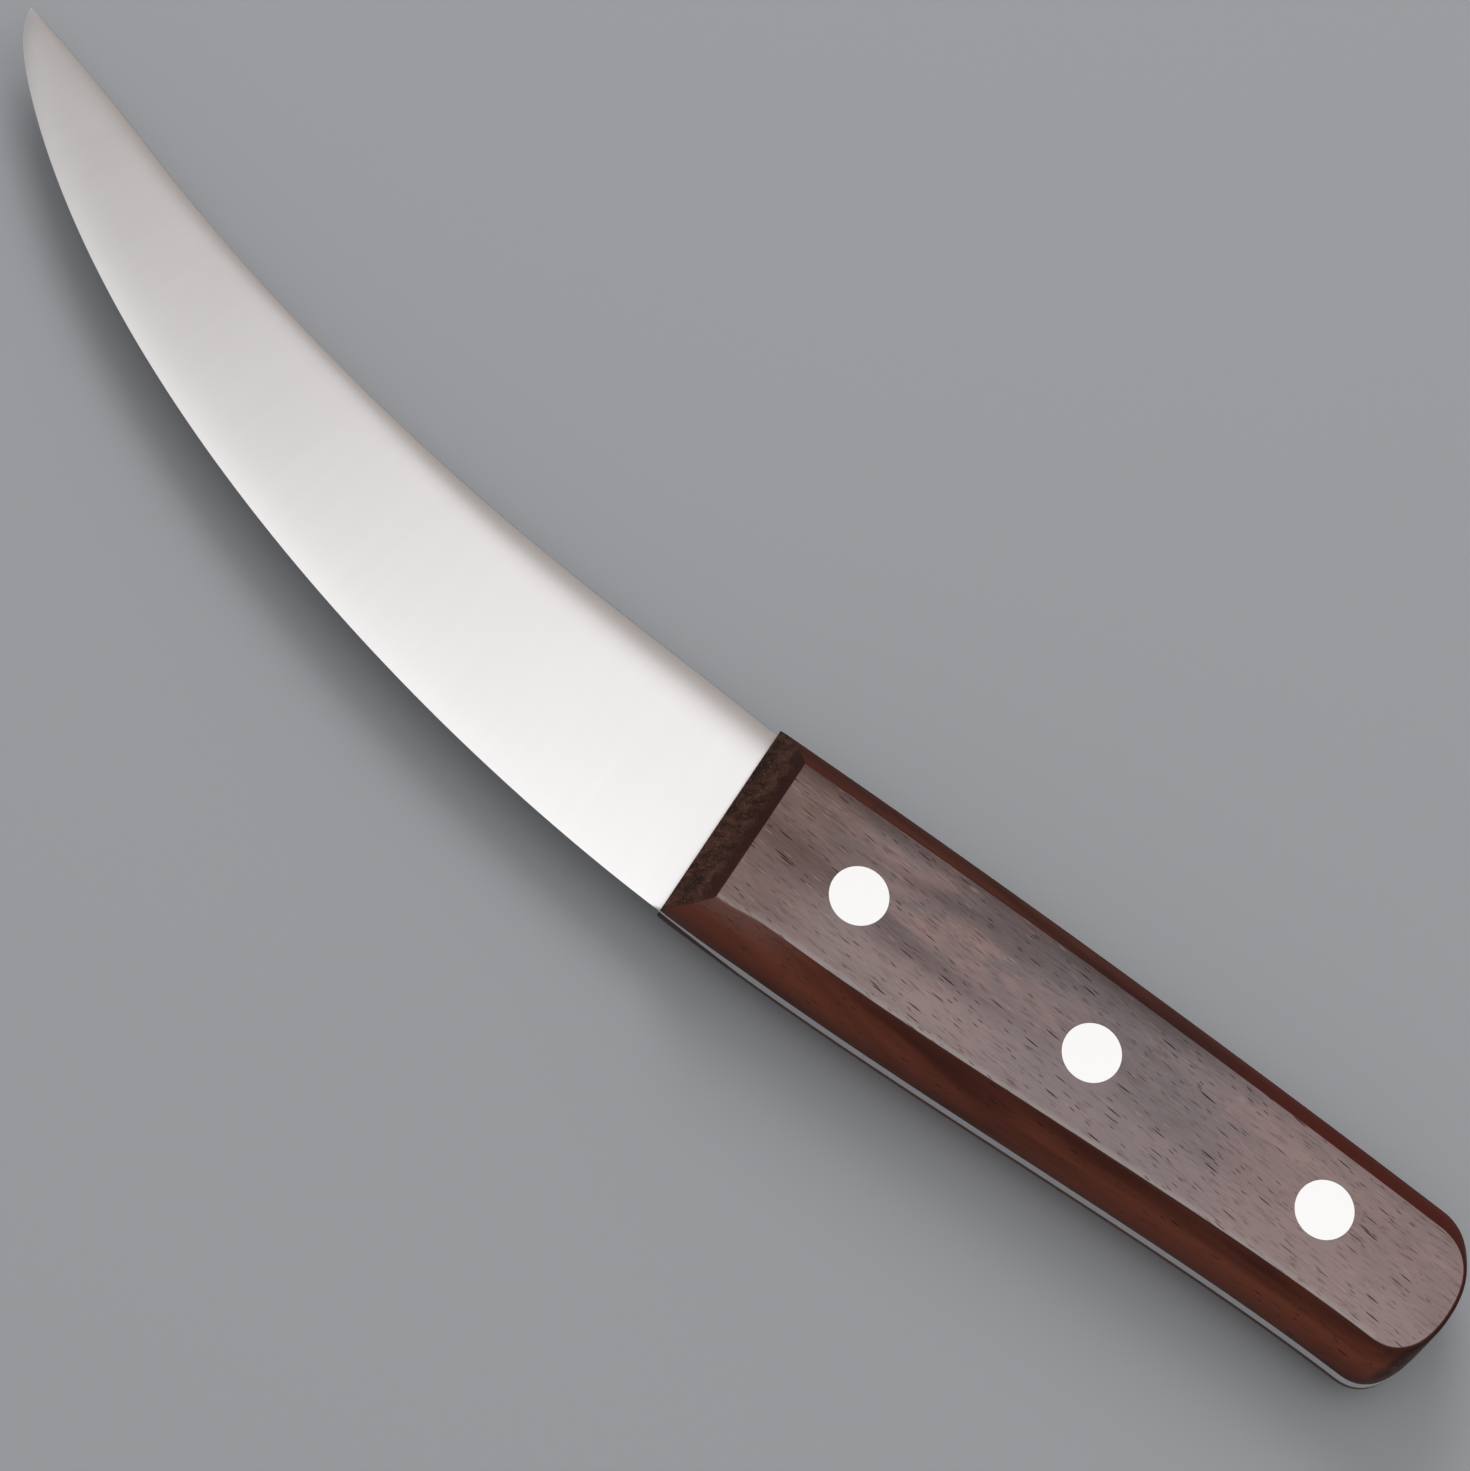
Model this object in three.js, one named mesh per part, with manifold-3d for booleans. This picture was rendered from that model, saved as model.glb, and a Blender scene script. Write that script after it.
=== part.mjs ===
// Knife with a swept-up blade, a full tang, and two wooden scales held by three two-part rivets.
// Millimetres. +X runs from the tip to the butt, +Y from the cutting edge to the back, +Z up through
// the thickness. The knife lies on its right scale, so the left scale is on top.
import * as THREE from 'three';
import Module from 'manifold-3d';

// Sizes of the blade
const BLADE_REACH = 142.3; // handle's front to the tip, along the handle
const TIP_RISE = 43.1; // tip above the handle's middle line
const HEEL_HEIGHT = 31; // blade and tang, at the handle's front
const STOCK = 2; // steel at the heel and through the tang
const TIP_STOCK = 1; // steel at the back, near the tip
const BACK_BAND = 3.4; // width of the rounded back at the heel
const BACK_BAND_TIP = 1.3; // and near the tip
const EDGE_LAND = 0.24; // steel just behind the honed bevel
const EDGE_BEVEL = 0.35; // width of the honed bevel
const GRIND_LEAD = 8; // the blade's taper starts to run out this far ahead of the handle
const GRIND_TAIL = 14; // and has run out this far behind the handle's front
const BACK_TAIL = 6; // the rounded back has run out this far behind the handle's front

// Sizes of the handle
const HANDLE_LENGTH = 119.8; // front to butt
const TOP_DROP = 4.15; // fall of the top line from the front to the butt
const BOTTOM_DROP = 1; // fall of the bottom line from the front to the butt
const GRIP_BELLY = 2.8; // pull of the bottom line outwards, under the front of the hand
const GRIP_HOLLOW = 2.2; // pull of the bottom line inwards, ahead of the butt
const BUTT_CORNER = 7.8; // reach of the butt's rounded corners, along the handle
const SCALE_THICKNESS = 8;
const FRONT_BEVEL = 5.2; // reach of the scale's bevelled front, along the handle
const FRONT_LIP = 1.2; // upright part of the front, under the bevel
const TOP_CHAMFER = 4.7; // width of the scale's rounded chamfer along the top
const BOTTOM_CHAMFER = 4.2; // and along the bottom
const FRONT_CHAMFER = 3.2; // and where the bottom meets the bevelled front
const BUTT_ROUND = 0.8; // radius of the scale's edge round the butt

// Sizes of the rivets: diameters, except where said
const RIVET_HEAD = 8.5;
const RIVET_HEAD_DEPTH = 2.2; // thickness of a head
const RIVET_TUBE = 5; // outside of the female half's tube
const RIVET_PIN = 3.2; // male half's pin
const RIVET_FRONT = 21.3; // first rivet behind the handle's front
const RIVET_REAR = 22.3; // last rivet ahead of the butt
const RIVET_DROP = 0.8; // rivets below the handle's middle line

// Clearances
const HOLE_GAP = 0.15; // all round a head or a tube in its hole
const PIN_GAP = 0.1; // all round the pin in the tube
const END_GAP = 0.6; // beyond the end of a tube or a pin

// Shape of the curves, as shares: of the reach and rise from heel to tip, and of the handle's length
const BACK_SHAPE = [[0.187, 0.096], [0.477, 0.078], [0.829, 0.732], [0.942, 0.936]];
const EDGE_SHAPE = [[0.331, 0.048], [0.733, 0.325], [0.945, 0.805], [1, 0.929]];
const TOP_BEND = [0.46, 0.12]; // bend of the top line: share of the length, and of the drop there
const BELLY_AT = 0.3;
const HOLLOW_AT = 0.65;
const CORNER_PULL = [0.7, 0.58]; // roundness of the butt's corners, along and across
const SIDE_CURL = 1.8; // the scale's sides start upright and lean in by this power of the height
const MOST_BAND = 0.3; // near the tip the band, bevel and thickness give way: most shares of the height
const MOST_BEVEL = 0.1;
const MOST_HALF = 0.15;

// Numbers of facets
const BLADE_COLUMNS = 36;
const TIP_CROWDING = 1.5; // power that brings the blade's columns closer together near the tip
const TAIL_COLUMNS = 6;
const TANG_COLUMNS = 12;
const FACE_STEPS = 4;
const BAND_STEPS = 5;
const LEVELS = 1 + FACE_STEPS + BAND_STEPS;
const SIDE_STEPS = 4;
const ROUND_STEPS = 3;
const TURN_STEPS = 48;

const MID = HEEL_HEIGHT / 2;
const FACE = STOCK / 2 + SCALE_THICKNESS;
const { clamp, lerp } = THREE.MathUtils;
const v2 = (x, y) => new THREE.Vector2(x, y);
const lift = (p, z) => new THREE.Vector3(p.x, p.y, z);

// A closed geometry from loose triangles: shared corners, no empty triangles, faces outwards
function weld(corners) {
  const WELD = 1e-4;
  const seen = new Map();
  const position = [];
  const index = [];
  const idOf = (p) => {
    const key = [p.x, p.y, p.z].map((c) => Math.round(c / WELD)).join();
    if (!seen.has(key)) {
      seen.set(key, seen.size);
      position.push(p.x, p.y, p.z);
    }
    return seen.get(key);
  };
  let volume = 0;
  for (let i = 0; i < corners.length; i += 3) {
    const [a, b, c] = [corners[i], corners[i + 1], corners[i + 2]];
    const ids = [idOf(a), idOf(b), idOf(c)];
    if (new Set(ids).size < ids.length) continue;
    index.push(...ids);
    volume += a.dot(b.clone().cross(c));
  }
  const geometry = new THREE.BufferGeometry();
  geometry.setAttribute('position', new THREE.Float32BufferAttribute(position, 3));
  geometry.setIndex(volume < 0 ? index.reverse() : index);
  return geometry;
}

const cornersOf = (geometry) => {
  const flat = geometry.toNonIndexed().getAttribute('position');
  return Array.from({ length: flat.count }, (_, i) => new THREE.Vector3().fromBufferAttribute(flat, i));
};
const quad = (a, b, c, d) => [a, b, c, a, c, d];

// Cutting with manifold-3d
const wasm = await Module();
wasm.setup();

function cut(geometry, ...tools) {
  const solidOf = (g) => new wasm.Manifold(new wasm.Mesh({
    numProp: 3,
    vertProperties: g.getAttribute('position').array,
    triVerts: new Uint32Array(g.index.array),
  }));
  const mesh = tools.reduce((left, tool) => left.subtract(solidOf(tool)), solidOf(geometry)).getMesh();
  const made = new THREE.BufferGeometry();
  made.setAttribute('position', new THREE.Float32BufferAttribute(mesh.vertProperties, 3));
  return made.setIndex(Array.from(mesh.triVerts));
}

// The blade's back and edge, each one cubic from the heel and a short rounded nose to the tip
function bladeCurve(heel, shape) {
  const at = ([along, up]) => v2(-BLADE_REACH * along, lerp(heel, TIP_RISE, up));
  const [first, second, join, nose] = shape.map(at);
  const path = new THREE.CurvePath();
  path.add(new THREE.CubicBezierCurve(v2(0, heel), first, second, join));
  path.add(new THREE.QuadraticBezierCurve(join, nose, at([1, 1])));
  return path;
}
const backCurve = bladeCurve(MID, BACK_SHAPE);
const edgeCurve = bladeCurve(-MID, EDGE_SHAPE);

// The handle's outline drawn in by a separate amount on each side: top and bottom from the front to
// the butt, and the butt from the top to the bottom
function gripCurves({ front, top, bottom, bottomFront, butt }) {
  const corner = HANDLE_LENGTH - BUTT_CORNER;
  const end = HANDLE_LENGTH - butt;
  const high = MID - TOP_DROP - top;
  const low = -MID - BOTTOM_DROP + bottom;
  const apex = (TOP_DROP + BOTTOM_DROP) / -2;
  const [along, across] = CORNER_PULL;
  const [topEnd, bottomEnd] = [v2(corner, high), v2(corner, low)];
  const bend = v2(HANDLE_LENGTH * TOP_BEND[0], MID - TOP_DROP * TOP_BEND[1] - top);
  const belly = v2(HANDLE_LENGTH * BELLY_AT, -MID - GRIP_BELLY + bottom);
  const hollow = v2(HANDLE_LENGTH * HOLLOW_AT, -MID + GRIP_HOLLOW - BOTTOM_DROP + bottom);
  const topLine = new THREE.QuadraticBezierCurve(v2(front, MID - top), bend, topEnd);
  const bottomLine = new THREE.CubicBezierCurve(v2(front, -MID + bottomFront), belly, hollow, bottomEnd);
  const onward = (from, to) => to.clone().sub(from).setLength(along * (end - corner)).add(to);
  const buttLine = new THREE.CurvePath();
  buttLine.add(new THREE.CubicBezierCurve(
    topEnd, onward(bend, topEnd), v2(end, lerp(apex, high, across)), v2(end, apex),
  ));
  buttLine.add(new THREE.CubicBezierCurve(
    v2(end, apex), v2(end, lerp(apex, low, across)), onward(hollow, bottomEnd), bottomEnd,
  ));
  return { topLine, bottomLine, buttLine };
}

// A cross-section of the steel from an edge point to a back point, with half its thickness at each level
function section(edge, back, tipShare) {
  const height = edge.distanceTo(back);
  const half = Math.min(lerp(STOCK, TIP_STOCK, tipShare) / 2, height * MOST_HALF);
  const bevel = Math.min(EDGE_BEVEL / height, MOST_BEVEL);
  const band = Math.min(lerp(BACK_BAND, BACK_BAND_TIP, tipShare) / height, MOST_BAND);
  const runOut = clamp((edge.x + GRIND_LEAD) / (GRIND_LEAD + GRIND_TAIL), 0, 1) ** 2;
  const land = lerp(Math.min(EDGE_LAND / 2, half), half, runOut);
  const square = clamp(back.x / BACK_TAIL, 0, 1);
  const levels = [{ share: 0, z: edge.x < 0 ? 0 : land }];
  for (let k = 0; k < FACE_STEPS; k++) {
    const share = lerp(bevel, 1 - band, k / (FACE_STEPS - 1));
    levels.push({ share, z: lerp(land, half, share) });
  }
  for (let k = 1; k <= BAND_STEPS; k++) {
    const turn = (k / BAND_STEPS) * Math.PI / 2;
    const share = 1 - band * (1 - Math.sin(turn));
    const round = k < BAND_STEPS ? Math.cos(turn) : 0;
    levels.push({ share, z: lerp(land, half, share) * lerp(round, 1, square) });
  }
  return levels.map(({ share, z }) => ({ share, z, at: edge.clone().lerp(back, share) }));
}

// Columns of the steel from the tip to the butt, closest together where the form changes most
const NO_INSET = { front: 0, top: 0, bottom: 0, bottomFront: 0, butt: 0 };
const plain = gripCurves(NO_INSET);
const tailShare = GRIND_TAIL / (HANDLE_LENGTH - BUTT_CORNER);
const stations = [
  ...Array.from({ length: TAIL_COLUMNS }, (_, k) => tailShare * k / TAIL_COLUMNS),
  ...Array.from({ length: TANG_COLUMNS + 1 }, (_, k) => lerp(tailShare, 1, k / TANG_COLUMNS)),
];
const bladeColumns = Array.from({ length: BLADE_COLUMNS }, (_, k) => {
  const tipShare = 1 - (k / BLADE_COLUMNS) ** TIP_CROWDING;
  return section(edgeCurve.getPoint(tipShare), backCurve.getPoint(tipShare), tipShare);
});
const tangColumns = stations.map((t) => section(plain.bottomLine.getPoint(t), plain.topLine.getPoint(t), 0));
const levelShares = Array.from({ length: LEVELS }, (_, k) => k / (LEVELS - 1));
tangColumns.push(levelShares.map((share) => ({ at: plain.buttLine.getPoint(1 - share), z: STOCK / 2 })));

// The steel's upper side as triangles, facing up
function upperSide(columns) {
  const corner = (i, j) => lift(columns[i][j].at, columns[i][j].z);
  return columns.slice(1).flatMap((_, i) => levelShares.slice(1).flatMap((__, j) =>
    quad(corner(i, j), corner(i + 1, j), corner(i + 1, j + 1), corner(i, j + 1))));
}

const flipped = (corners) => corners.map((p) => p.clone().setZ(-p.z)).reverse();

function bladeForm() {
  const columns = [...bladeColumns, ...tangColumns];
  const wall = (a, b) => quad(lift(a.at, -a.z), lift(b.at, -b.z), lift(b.at, b.z), lift(a.at, a.z));
  const walls = columns.slice(1).flatMap((column, i) => [
    ...wall(columns[i][0], column[0]),
    ...wall(column[LEVELS - 1], columns[i][LEVELS - 1]),
  ]);
  const butt = columns[columns.length - 1];
  walls.push(...butt.slice(1).flatMap((level, j) => wall(butt[j], level)));
  const top = upperSide(columns);
  return weld([...top, ...flipped(top), ...walls]);
}

// One ring of points round the handle: up the front, along the top, down the butt, back along the bottom
function ring(inset) {
  const { topLine, bottomLine, buttLine } = gripCurves(inset);
  const [low, high] = [bottomLine.getPoint(0), topLine.getPoint(0)];
  return [
    ...tangColumns[0].map(({ share }) => low.clone().lerp(high, share)),
    ...stations.slice(1).map((t) => topLine.getPoint(t)),
    ...levelShares.slice(1).map((share) => buttLine.getPoint(share)),
    ...stations.slice(1, -1).reverse().map((t) => bottomLine.getPoint(t)),
  ];
}

// The left scale: bedded on the tang, with upright sides that curl in to a flat outer face
function scaleForm() {
  const sides = tangColumns.slice(1, -1);
  const bed = [
    ...tangColumns[0].map(({ z }) => z),
    ...sides.map((column) => column[LEVELS - 1].z),
    ...levelShares.slice(1).map(() => STOCK / 2),
    ...sides.slice(0, -1).reverse().map((column) => column[0].z),
  ];
  const shoulder = SCALE_THICKNESS - BUTT_ROUND;
  const heights = [FRONT_LIP];
  for (let k = 1; k <= SIDE_STEPS; k++) heights.push(lerp(FRONT_LIP, shoulder, k / SIDE_STEPS));
  for (let k = 1; k <= ROUND_STEPS; k++) {
    heights.push(shoulder + BUTT_ROUND * Math.sin((k / ROUND_STEPS) * Math.PI / 2));
  }
  const rings = heights.map((height) => {
    const lean = (height / SCALE_THICKNESS) ** SIDE_CURL;
    const over = Math.max(height - shoulder, 0);
    return ring({
      front: FRONT_BEVEL * (height - FRONT_LIP) / (SCALE_THICKNESS - FRONT_LIP),
      top: TOP_CHAMFER * lean,
      bottom: BOTTOM_CHAMFER * lean,
      bottomFront: FRONT_CHAMFER * lean,
      butt: BUTT_ROUND - Math.sqrt(Math.max(BUTT_ROUND ** 2 - over ** 2, 0)),
    }).map((p) => lift(p, STOCK / 2 + height));
  });
  rings.unshift(ring(NO_INSET).map((p, i) => lift(p, bed[i])));
  const sidesOut = rings.slice(1).flatMap((upper, k) => upper.flatMap((p, i) => {
    const next = (i + 1) % upper.length;
    return quad(rings[k][next], rings[k][i], p, upper[next]);
  }));
  const outer = rings[rings.length - 1].slice().reverse();
  const face = THREE.ShapeUtils.triangulateShape(outer.map((p) => v2(p.x, p.y)), []).flat();
  return weld([...upperSide(tangColumns).reverse(), ...sidesOut, ...face.map((i) => outer[i])]);
}

const mirrored = (geometry) => weld(flipped(cornersOf(geometry)));

// Turned pieces, about an upright axis through a rivet's place
const firstRivet = RIVET_FRONT;
const lastRivet = HANDLE_LENGTH - RIVET_REAR;
const rivetPlaces = {
  front: firstRivet,
  middle: (firstRivet + lastRivet) / 2,
  rear: lastRivet,
};
function turned(profile, x) {
  const lathe = new THREE.LatheGeometry(profile.map(([radius, z]) => v2(radius, z)), TURN_STEPS);
  return weld(cornersOf(lathe.rotateX(Math.PI / 2).translate(x, -RIVET_DROP, 0)));
}

const headR = RIVET_HEAD / 2;
const tubeR = RIVET_TUBE / 2;
const pinR = RIVET_PIN / 2;
const seat = FACE - RIVET_HEAD_DEPTH; // height of a head's underside
const femaleRivet = (x) => turned([
  [0, FACE], [headR, FACE], [headR, seat], [tubeR, seat], [tubeR, END_GAP - seat],
  [pinR + PIN_GAP, END_GAP - seat], [pinR + PIN_GAP, seat], [0, seat],
], x);
const maleRivet = (x) => turned([
  [0, -FACE], [headR, -FACE], [headR, -seat], [pinR, -seat], [pinR, seat - END_GAP], [0, seat - END_GAP],
], x);
// A stepped hole through everything, with a seat for the head on each side
const rivetHole = (x) => turned([
  [0, -FACE - END_GAP], [headR + HOLE_GAP, -FACE - END_GAP], [headR + HOLE_GAP, -seat],
  [tubeR + HOLE_GAP, -seat], [tubeR + HOLE_GAP, seat],
  [headR + HOLE_GAP, seat], [headR + HOLE_GAP, FACE + END_GAP], [0, FACE + END_GAP],
], x);

// The pieces
const steel = new THREE.MeshStandardMaterial({ color: 0xc9c9cb, metalness: 1, roughness: 0.35 });
const rivetMetal = new THREE.MeshStandardMaterial({ color: 0xe6e6e4, metalness: 1, roughness: 0.25 });
const wood = new THREE.MeshStandardMaterial({ color: 0x5a3226, metalness: 0, roughness: 0.55 });

const holes = Object.values(rivetPlaces).map(rivetHole);
const leftScale = scaleForm();
const group = new THREE.Group();
group.name = 'knife';
const add = (name, geometry, material) => {
  const mesh = new THREE.Mesh(geometry, material);
  mesh.name = name;
  group.add(mesh);
};
add('blade', cut(bladeForm(), ...holes), steel);
add('left_scale', cut(leftScale, ...holes), wood);
add('right_scale', cut(mirrored(leftScale), ...holes), wood);
for (const [place, x] of Object.entries(rivetPlaces)) {
  add(`${place}_rivet_female`, femaleRivet(x), rivetMetal);
  add(`${place}_rivet_male`, maleRivet(x), rivetMetal);
}

// Origin at the middle of the underside
const box = new THREE.Box3().setFromObject(group);
const middle = box.getCenter(new THREE.Vector3());
for (const mesh of group.children) {
  mesh.geometry.translate(-middle.x, -middle.y, -box.min.z);
  mesh.geometry.computeVertexNormals();
}

export default group;
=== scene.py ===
# %% [markdown]
# A riveted knife with a swept-up blade
#
# The imported model is our frame: nine solids in metres, the knife lying on its right scale, its
# tip towards -X and its cutting edge towards -Y. Those solids carry the sizes. In this lesson
# each of them gets a finer skin of the same form, and a finish that is worked out from nodes
# alone: ground steel, oiled rosewood and polished rivet heads.
# We first load the frame and keep its box.

# %% Load the frame
from math import comb, radians

import bpy
import numpy as np
from mathutils import Matrix, Vector


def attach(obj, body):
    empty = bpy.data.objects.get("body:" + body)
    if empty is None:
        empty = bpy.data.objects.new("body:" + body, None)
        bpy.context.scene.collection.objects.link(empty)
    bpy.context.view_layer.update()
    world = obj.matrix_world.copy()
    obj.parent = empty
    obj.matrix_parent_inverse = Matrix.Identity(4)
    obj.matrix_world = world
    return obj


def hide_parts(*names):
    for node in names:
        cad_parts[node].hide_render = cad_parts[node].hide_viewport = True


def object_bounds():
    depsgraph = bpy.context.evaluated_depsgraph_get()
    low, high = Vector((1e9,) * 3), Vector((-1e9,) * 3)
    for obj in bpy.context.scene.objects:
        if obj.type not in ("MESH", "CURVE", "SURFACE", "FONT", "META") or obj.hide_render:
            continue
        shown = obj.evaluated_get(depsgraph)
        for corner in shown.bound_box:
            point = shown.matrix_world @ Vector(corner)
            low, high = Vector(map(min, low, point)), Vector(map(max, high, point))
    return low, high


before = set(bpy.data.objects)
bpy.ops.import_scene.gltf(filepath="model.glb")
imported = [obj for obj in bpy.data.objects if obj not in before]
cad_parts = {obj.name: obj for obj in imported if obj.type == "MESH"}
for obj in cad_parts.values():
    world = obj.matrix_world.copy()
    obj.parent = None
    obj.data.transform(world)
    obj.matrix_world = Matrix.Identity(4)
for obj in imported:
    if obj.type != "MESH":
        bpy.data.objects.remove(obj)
cad_low, cad_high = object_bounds()
print("frame:", sorted(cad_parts), "box", tuple(cad_low), tuple(cad_high))

# %% [markdown]
# The camera
#
# The knife is seen from the side of its cutting edge, 21 degrees off straight down, through a
# long lens, and rolled so that it runs from corner to corner of the picture. A long lens far
# away keeps the two ends of the knife at nearly the same scale. The camera's own axes are
# written down as three directions, because a turn matrix made of them is easier to read than
# three angles.

# %% Set the camera
MM = 0.001
TILT = radians(21.0)
ROLL_COSINE, ROLL_SINE = 0.8290, 0.5592
CAMERA_PLACE = (0.006431, -0.395126, 1.034685)
LENS_PIXELS = 8000.0
LONG_SIDE_PIXELS = 1471
SENSOR = 36.0
NEAR, FAR = 0.05, 20

towards_camera = Vector((0, -np.sin(TILT), np.cos(TILT)))
steep = Vector((0, np.cos(TILT), np.sin(TILT)))
handle_way = Vector((1, 0, 0))
right = ROLL_COSINE * handle_way + ROLL_SINE * steep
up = -ROLL_SINE * handle_way + ROLL_COSINE * steep

camera_data = bpy.data.cameras.new("camera")
camera_data.sensor_width = SENSOR
camera_data.lens = SENSOR * LENS_PIXELS / LONG_SIDE_PIXELS
camera_data.clip_start, camera_data.clip_end = NEAR, FAR
camera = bpy.data.objects.new("camera", camera_data)
turn = Matrix((right, up, towards_camera)).transposed().to_4x4()
camera.matrix_world = Matrix.Translation(CAMERA_PLACE) @ turn
bpy.context.scene.collection.objects.link(camera)
bpy.context.scene.camera = camera
print("camera: lens %.1f mm" % camera_data.lens)

# %% [markdown]
# Shells sewn from patches
#
# Every piece below is a closed shell, and every shell is sewn from patches. A patch is a grid of
# points, so a whole array of numbers, and its cells become four-sided faces. Two patches that
# share a border have the same points there, and sewing makes them one. Where a grid runs
# together into a pole, a cell loses a side and becomes a triangle. Behind its three coordinates a
# point may carry more numbers, such as how far along the blade it lies. A finish can read those.
# Blender could merge the doubles too, but its least distance would eat the last columns at the
# blade's tip, where both sides come very close. So the seam here is far finer than any detail.

# %% Sew patches into a shell
SEAM = 2e-6  # millimetres


def cells_of(rows, columns):
    """The four corner numbers of every cell in a grid whose points are counted row by row."""
    at = np.arange(rows * columns).reshape(rows, columns)
    return np.stack([at[:-1, :-1], at[1:, :-1], at[1:, 1:], at[:-1, 1:]], axis=-1)


def sew(patches):
    """Points and faces of all patches together. Points within a seam's width become one point;
    a cell with two equal corners becomes a triangle, and one with fewer than three is dropped."""
    points, cells, count = [], [], 0
    for grid, keep in patches:
        corners = cells_of(*grid.shape[:2])
        cells.append(corners[keep] + count)
        points.append(grid.reshape(-1, grid.shape[2]))
        count += len(points[-1])
    points, cells = np.concatenate(points), np.concatenate(cells)
    key = np.round(points[:, :3] / SEAM).astype(np.int64)
    _, first, which = np.unique(key, axis=0, return_index=True, return_inverse=True)
    cells = which.reshape(-1)[cells]
    twins = cells == np.roll(cells, -1, axis=1)
    lost = twins.sum(axis=1)
    quads = cells[lost == 0]
    triangles = cells[lost == 1][~twins[lost == 1]].reshape(-1, 3)
    return points[first], quads, triangles


def whole(grid):
    """A patch that keeps every cell of its grid."""
    return grid, np.ones((grid.shape[0] - 1, grid.shape[1] - 1), bool)


def turned_over(patches):
    """The same patches below the knife's middle plane: heights change their sign, and the rows
    change their order, so that faces still point outwards."""
    over = []
    for grid, keep in patches:
        down = grid[::-1].copy()
        down[:, :, 2] *= -1
        over.append((down, keep[::-1]))
    return over


print("a grid of 3 by 4 points has", len(cells_of(3, 4).reshape(-1, 4)), "cells")

# %% [markdown]
# From a shell to a piece
#
# The numbers are in millimetres, from the middle of the handle's front, which is where a maker
# would measure from. The frame has its origin under the middle of the box, so each piece is
# shifted there in its mesh and its object stays at the origin. Moving the object would be
# easier, but a pattern that follows the object's own coordinates would then slide. Faces are
# shaded smooth, and only edges that turn sharply stay crisp.

# %% Make a piece
BLADE_REACH = 142.3
TIP_RISE = 43.1
SCALE_FACE = 9.0
CRISP = radians(34)
shift = np.array([
    cad_low.x / MM + BLADE_REACH,
    cad_high.y / MM - TIP_RISE,
    cad_low.z / MM + SCALE_FACE])


def make_piece(name, patches, node, carried):
    """One mesh object from patches; carried names the numbers that ride behind the coordinates."""
    points, quads, triangles = sew(patches)
    mesh = bpy.data.meshes.new(name)
    faces = quads.tolist() + triangles.tolist()
    mesh.from_pydata(((points[:, :3] + shift) * MM).tolist(), [], faces)
    mesh.polygons.foreach_set("use_smooth", np.ones(len(mesh.polygons), bool))
    mesh.set_sharp_from_angle(angle=CRISP)
    lay = np.zeros((len(points), 3), np.float32)
    lay[:, :points.shape[1] - 3] = points[:, 3:]
    attribute = mesh.attributes.new(carried, "FLOAT_VECTOR", "POINT")
    attribute.data.foreach_set("vector", lay.ravel())
    piece = bpy.data.objects.new(name, mesh)
    bpy.context.scene.collection.objects.link(piece)
    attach(piece, "root")
    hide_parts(node)
    print(name, len(points), "points,", 2 * len(quads) + len(triangles), "triangles")
    return piece


print("from the handle's front to the frame's origin:", shift.round(3), "mm")

# %% [markdown]
# The lines of the knife
#
# A knife starts as two lines on a steel plate: the back and the cutting edge. Each of them is one
# long cubic curve from the heel and a short nose curve up to the tip. The handle has a top line
# that falls slowly, a bottom line with a belly and a hollow, and a rounded butt. We could trace
# such lines with many short pieces, but a few control points give lines as fair as a maker's.
# Drawing a Bezier curve is blending its control points, so a whole line is one matrix product.

# %% Draw the lines
HEEL_HEIGHT = 31.0
MID = HEEL_HEIGHT / 2
BACK_SHAPE = [(0.187, 0.096), (0.477, 0.078), (0.829, 0.732), (0.942, 0.936)]
EDGE_SHAPE = [(0.331, 0.048), (0.733, 0.325), (0.945, 0.805), (1.0, 0.929)]
PACE_STEPS = 900


def lerp(a, b, share):
    """The value a share of the way from a to b."""
    return a + (b - a) * share


def bezier(controls, t):
    """Points on a Bezier curve: its controls weighted by Bernstein polynomials of t."""
    controls, n = np.asarray(controls, float), len(controls) - 1
    t = np.asarray(t, float)[:, None]
    k = np.arange(n + 1)
    return (np.array([comb(n, i) for i in k]) * t ** k * (1 - t) ** (n - k)) @ controls


def paced(curves, shares):
    """Points at shares of the length of several Bezier curves that follow one another."""
    fine = np.concatenate([bezier(controls, np.linspace(0, 1, PACE_STEPS)) for controls in curves])
    run = np.concatenate([[0], np.cumsum(np.linalg.norm(np.diff(fine, axis=0), axis=1))])
    return np.stack([np.interp(shares, run / run[-1], fine[:, k]) for k in (0, 1)], axis=1)


def blade_line(heel, shape):
    """A cubic from the heel to the nose and a quadratic round it to the tip, from shares of the
    reach along the handle and of the rise from the heel to the tip."""
    first, second, join, nose = [
        (-BLADE_REACH * along, lerp(heel, TIP_RISE, rise)) for along, rise in shape]
    return [[(0, heel), first, second, join], [join, nose, (-BLADE_REACH, TIP_RISE)]]


back_line = blade_line(MID, BACK_SHAPE)
edge_line = blade_line(-MID, EDGE_SHAPE)
print("tip at", back_line[1][2])

# %% The handle's lines
HANDLE_LENGTH = 119.8
TOP_DROP, BOTTOM_DROP = 4.15, 1.0
BEND_AT, BEND_DROP = 0.46, 0.12
BELLY_AT, GRIP_BELLY = 0.3, 2.795
HOLLOW_AT, GRIP_HOLLOW = 0.65, 2.2
BUTT_CORNER, BUTT_TRIM = 7.8, 0.05
CORNER_PULL, APEX_PULL = 0.7, 0.58


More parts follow.
